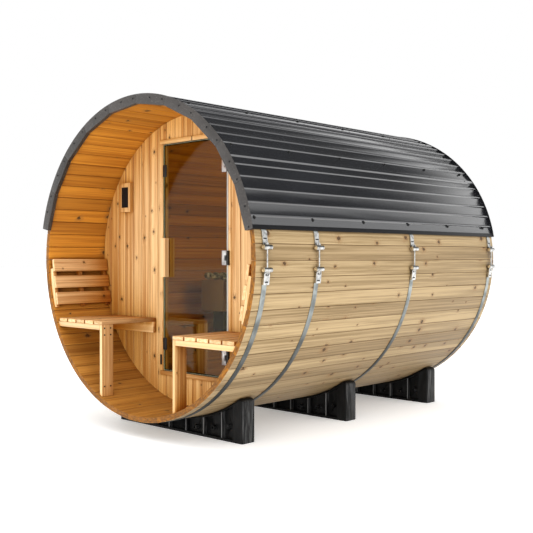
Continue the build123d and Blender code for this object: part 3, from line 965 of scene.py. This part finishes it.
def screw(bm, centre, out, along, radius):
    """A domed hexagon screw head on a round washer, standing out of a surface."""
    side = out.cross(along)

    def ring(across, up, count):
        turns = [2*math.pi*i/count for i in range(count)]
        spokes = [along*math.cos(turn)+side*math.sin(turn) for turn in turns]
        return [bm.verts.new(centre+out*radius*up+spoke*radius*across) for spoke in spokes]

    skin(bm, [ring(across, up, washer_sides) for across, up in washer_shares])
    skin(bm, [ring(across, up, head_sides) for across, up in head_shares])


def outward(angle):
    """Direction out of the barrel at an angle in degrees from the level on the right."""
    return Vector((math.cos(math.radians(angle)), 0, math.sin(math.radians(angle))))


def add_screws(name, places, material):
    """One piece of all the screws at places: a centre, a direction out, a direction along and a radius."""
    bm = bmesh.new()
    for place in places:
        screw(bm, *place)
    bmesh.ops.recalc_face_normals(bm, faces=bm.faces)
    add_piece(name, bm, material)


def bench_bolt_places():
    """Bolts near the head and the foot of both bench legs, on their faces to the aisle."""
    places = []
    for side, out in (("left", to_right), ("right", -to_right)):
        low, high = max(solid_boxes("porch_frame_"+side), key=lambda box: box[1].z-box[0].z)
        x = high.x if out.x > 0 else low.x
        for y in (low.y+bolt_margin, high.y-bolt_margin):
            for z in (high.z-bolt_margin, high.z-bolt_far_margin, low.z+bolt_far_margin):
                places.append((Vector((x, y, z)), out, upward, bolt_radius))
    return places


def eave_of(node):
    """Angle in degrees of a roof side's lower edge, and the radius of its sheet's outer face."""
    corners = [Vector((abs(v.co.x), v.co.z-axis_z)) for v in nodes[node].data.vertices]
    foot = min(c.y for c in corners)
    edge = max((c for c in corners if c.y < foot+eave_slack), key=lambda c: c.length)
    return math.degrees(math.atan2(edge.y, edge.x)), edge.length


def roof_screw_places():
    """Rows of screws on both sides of the roof."""
    places = []
    for node, mirrored in (("roof_right", False), ("roof_left", True)):
        eave, radius = eave_of(node)
        for row, over in enumerate(screw_rows):
            angle = 180-eave-over if mirrored else eave+over
            out = outward(angle)
            y = roof_low.y+screw_start+row*screw_row_lead
            while y < roof_high.y-screw_start/2:
                centre = Vector((0, y, axis_z))+out*(radius-roof_sag)
                places.append((centre, out, to_rear, screw_radius))
                y += screw_pitch
    return places


def trim_feet():
    """Heights of the front trim's right and left lower ends."""
    corners = [v.co for v in nodes["trim_front"].data.vertices]
    return [min(c.z for c in corners if c.x*side > 0) for side in (1, -1)]


def trim_screw_places():
    """Screws along the front trim, near both ends of each piece."""
    low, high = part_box("trim_front")
    outer = high.z-axis_z
    starts = [math.degrees(math.asin((z-axis_z)/outer)) for z in trim_feet()]
    step = (180-sum(starts))/trim_pieces
    middle = (outer+bore_radius)/2
    places = []
    for i in range(trim_pieces):
        for turn in trim_screw_turns:
            out = outward(starts[0]+i*step+turn)
            places.append((Vector((0, low.y, axis_z))+out*middle, to_front, out, trim_screw_radius))
    return places


def ridge_closed(bm):
    """A roof side drawn up to the ridge, so that no wood shows through the joint."""
    for v in bm.verts:
        if abs(v.co.x) < ridge_reach:
            v.co.x = math.copysign(ridge_slit/2, v.co.x)
    return bm


def make_roof(dark):
    """Roof sheets, eave strips, trims and their screws."""
    sheet = painted_sheet("roof_paint", roof_look)
    edge_paint = painted_sheet("trim_paint", trim_look)
    strip_paint = painted_sheet("eave_paint", eave_look)
    for node in ("roof_right", "roof_left"):
        side = ridge_closed(bevelled(node, rib_edge, rib_angle, rib_segments))
        dress(node, plain(side, node+"_sheet"), sheet)
    for node in ("trim_rear", "eave_strips"):
        edged(node, sheet_edge, "_sheet", strip_paint)
    edged("trim_front", trim_edge, "_sheet", edge_paint)
    add_screws("roof_screws", roof_screw_places(), black_metal("screw_black", screw_gloss))
    add_screws("trim_screws", trim_screw_places(), dark)


def make_hardware(dark):
    """Bolts of the benches, black hardware of the door, and the vent."""
    add_screws("bench_bolts", bench_bolt_places(), dark)
    for node, body in (("hinge_blocks", "cabin"), ("latch_plate", "cabin"), ("door_catches", "door")):
        edged(node, hardware_edge, "_black", dark, body)
    vent_black = black_metal("vent_mesh_black", vent_gloss)
    edged("vent_grille", hardware_edge, "_mesh", vent_black)


def make_metal():
    """Hoops, tensioners, hinges and cradles."""
    band = steel("hoop_steel", hoop_look, hoop_shade_colour)
    bright = steel("bright_steel", bright_look)
    satin = steel("hinge_satin", hinge_look)
    edged("hoops", sheet_edge, "_band", band)
    edged("tensioners", hardware_edge, "_steel", bright)
    edged("hinge_plates", hardware_edge, "_steel", satin, "door")
    add_tensioner_details(bright)
    plastic = moulded_plastic("black_moulded_plastic")
    for place in ("front", "middle", "rear"):
        node = "cradle_"+place
        # Cradles with their rib fronts marked for a painted highlight.
        dress(node, plain(worn(merged(node)), node+"_moulding"), plastic)


def worn(bm):
    """A mesh with a painted highlight of 1 on its narrow upright faces between its ends, the fronts of its
    ribs.
    """
    rib_highlight = bm.faces.layers.float.new("rib_highlight")
    reach = highlight_reach_share*max(v.co.x for v in bm.verts)
    for face in bm.faces:
        longest = max(face.edges, key=lambda e: e.calc_length())
        rise = abs(longest.verts[0].co.z-longest.verts[1].co.z)
        narrow = face.calc_area() < highlight_width*longest.calc_length()
        inside = abs(longest.verts[0].co.x) < reach
        upright = rise > highlight_rise and rise > highlight_upright_share*longest.calc_length()
        face[rib_highlight] = 1.0 if narrow and inside and upright else 0.0
    return bm


def tile(bm, centre, out, half):
    """A small flat block on the barrel: half its height, its length along the axis, and its width."""
    side = out.cross(to_rear)
    layers = []
    for i in (-1, 1):
        layer = []
        for j, k in ((-1, -1), (1, -1), (1, 1), (-1, 1)):
            layer.append(bm.verts.new(centre+out*i*half[0]+to_rear*j*half[1]+side*k*half[2]))
        layers.append(layer)
    skin(bm, layers)


def add_tensioner_details(bright):
    """Bolt heads and caps tinted cream as a painted reflection at the ends of the trunnions, and black tiles
    as painted shade in the slits of the clamps and straps.
    """
    bolts, caps = [], []
    slots = bmesh.new()
    for low, high in solid_boxes("tensioners"):
        x = high.x-trunnion_radius
        for angle in trunnion_angles:
            z = axis_z+barrel_radius*math.sin(math.radians(angle))
            bolts.append((Vector((x, high.y, z)), to_rear, upward, trunnion_bolt_radius))
            caps.append((Vector((x, low.y, z)), to_front, upward, trunnion_bolt_radius))
        middle = Vector((0, (low.y+high.y)/2, axis_z))
        # Black tiles as painted shade in the slits of each clamp and strap.
        for angle, over in zip(slot_angles, slot_outs):
            out = outward(angle)
            tile(slots, middle+out*(barrel_radius+over), out, slot_half)
    add_screws("tensioner_bolts", bolts, bright)
    add_screws("tensioner_caps", caps, steel("trunnion_reflection_tint", cap_reflection_look))
    bmesh.ops.recalc_face_normals(slots, faces=slots.faces)
    add_piece("tensioner_slot_shade", slots, black_metal("tensioner_shade_black", black_gloss))


def make_glass():
    """Glass leaf with ground edges, the gasket behind it and the seal at its hinge side."""
    mesh = plain(bevelled("door_glass", glass_edge, segments=glass_segments), "door_glass_pane")
    piece = dress("door_glass", mesh, tinted_glass(), "door")
    second_material(piece, cloudy("glass_rim", rim_noise, rim_colours, rim_rough), y_axis, False)
    piece.visible_shadow = False
    make_gasket()
    make_seal()


def bar(bm, low, high, edge):
    """A straight bar between two corners with rounded edges."""
    made = bmesh.ops.create_cube(bm, size=1)["verts"]
    for v in made:
        v.co = Vector([low[i]+(v.co[i]+0.5)*(high[i]-low[i]) for i in range(3)])
    edges = list({e for v in made for e in v.link_edges})
    bmesh.ops.bevel(bm, geom=edges, offset=edge, segments=edge_segments, profile=round_profile,
                    affect="EDGES")


def make_gasket():
    """Black strips round the opening that the glass closes against."""
    pane_low, pane_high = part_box("door_glass")
    gap = pane_low.z-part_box("door_threshold")[1].z
    x0, x1 = pane_low.x-gap, pane_high.x+gap
    z0, z1 = pane_low.z-gap, pane_high.z+gap
    near = pane_high.y+gasket_clearance
    thin = gap-gasket_clearance
    edge = thin*gasket_edge_share
    bm = bmesh.new()
    for left, right in ((x0, x0+gasket_width), (x1-gasket_width, x1)):
        bar(bm, (left, near, z0), (right, near+thin, z1), edge)
    for low, high in ((z0, z0+gasket_width), (z1-gasket_width, z1)):
        bar(bm, (x0, near, low), (x1, near+gasket_depth, high), edge)
    add_piece("door_gasket", bm, moulded_plastic("black_gasket"))


def make_seal():
    """Pale strip on the front of the jamb at the hinge side."""
    jamb_low, jamb_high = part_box("door_jambs")
    pane_low, pane_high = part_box("door_glass")
    left = pane_high.x+(pane_low.x-jamb_low.x)*seal_gap_share
    near = jamb_low.y-seal_proud
    bm = bmesh.new()
    bar(bm, (left, near, jamb_low.z), (left+seal_width, jamb_low.y, jamb_high.z), sheet_edge)
    add_piece("door_seal", bm, cloudy("pale_seal", seal_noise, seal_colours, seal_rough))


def make_heater():
    """Heater box, plinth and a bed of rough stones."""
    paint = painted_sheet("heater_paint", heater_look)
    dark_paint = painted_sheet("heater_plinth_paint", plinth_look)
    box = edged("heater_box", heater_edge, "_sheet", paint)
    second_material(box, steel("heater_steel", heater_end_look), x_axis, True)
    edged("heater_plinth", heater_edge, "_sheet", dark_paint)
    dress("heater_stones", plain(rough_stones(), "heater_stones_rough"), stone())


def rough_stones():
    """A lumpy ball in the place of each stone."""
    rng = random.Random(seed)
    bm = bmesh.new()
    for low, high in solid_boxes("heater_stones"):
        shift = random_place(rng, stone_shift)
        ball = bmesh.ops.create_icosphere(bm, subdivisions=stone_subdivisions, radius=1)["verts"]
        for v in ball:
            lump = 1-stone_lump_share*abs(noise.noise(v.co*stone_lump_scale+shift))
            v.co = (low+high)/2+Vector([v.co[i]*lump*(high-low)[i]/2 for i in range(3)])
    return bm


def make_floor():
    """Wide pale floor."""
    bm = bmesh.new()
    bmesh.ops.create_grid(bm, x_segments=1, y_segments=1, size=floor_half)
    mesh = bpy.data.meshes.new("floor")
    bm.to_mesh(mesh)
    bm.free()
    mesh.materials.append(pale_floor())
    floor = bpy.data.objects.new("floor", mesh)
    bpy.context.scene.collection.objects.link(floor)


def make_world():
    """White surroundings, darker overhead so that gloss has something to show."""
    world = bpy.data.worlds.new("studio")
    world.use_nodes = True
    nodes_of, links = world.node_tree.nodes, world.node_tree.links
    place = nodes_of.new("ShaderNodeTexCoord")
    slope = nodes_of.new("ShaderNodeVectorMath")
    slope.operation = "DOT_PRODUCT"
    slope.inputs[1].default_value = sky_slope
    links.new(place.outputs["Generated"], slope.inputs[0])
    rise = nodes_of.new("ShaderNodeMapRange")
    rise.interpolation_type = "SMOOTHSTEP"
    for socket, value in zip(rise.inputs, (0, *sky_heights, *sky_levels)):
        socket.default_value = value
    links.new(slope.outputs["Value"], rise.inputs[0])
    background = nodes_of["Background"]
    background.inputs[0].default_value = white
    links.new(rise.outputs[0], background.inputs[1])
    bpy.context.scene.world = world


def lamp(name, place, size, power, colour):
    """A soft light of a width and a height aimed at the middle of the barrel."""
    data = bpy.data.lights.new(name, "AREA")
    data.shape = "RECTANGLE"
    data.size, data.size_y = size
    data.energy = power
    data.color = colour
    aim = Vector((0, middle_y, axis_z))-Vector(place)
    light = add_light(data, aim.to_track_quat("-Z", "Y").to_euler())
    light.location = place


def overhead_light():
    """Even soft light from overhead that leans to the right."""
    data = bpy.data.lights.new("overhead", "SUN")
    data.angle = math.radians(overhead_spread)
    data.energy = overhead_strength
    add_light(data, (0, math.radians(overhead_lean), 0))


def add_light(data, turn):
    """A light in the scene that isn't seen itself, in reflections or through glass."""
    light = bpy.data.objects.new(data.name, data)
    light.rotation_euler = turn
    light.visible_camera = False
    light.visible_glossy = False
    light.visible_transmission = False
    bpy.context.scene.collection.objects.link(light)
    return light


def make_light():
    """White surroundings and soft lamps."""
    make_world()
    overhead_light()
    lamp("front", *front_lamp)
    lamp("side", *side_lamp)
    lamp("cabin", *cabin_lamp)


def make_camera():
    """Camera at the photograph's place."""
    data = bpy.data.cameras.new("camera")
    data.sensor_width = sensor_width
    data.lens = sensor_width*focal_pixels/image_size
    data.shift_x = (image_size/2-centre_column)/image_size
    camera = bpy.data.objects.new("camera", data)
    camera.location = (camera_right, front_y-camera_ahead, axis_z+camera_over)
    camera.rotation_euler = (math.pi/2+camera_pitch, 0, camera_yaw)
    bpy.context.scene.collection.objects.link(camera)
    bpy.context.scene.camera = camera


black_hardware = black_metal("black_metal_satin", black_gloss)
make_wood()
make_roof(black_hardware)
make_hardware(black_hardware)
make_metal()
make_glass()
make_heater()
make_floor()
make_light()
make_camera()
bpy.context.scene.view_settings.view_transform = "Standard"
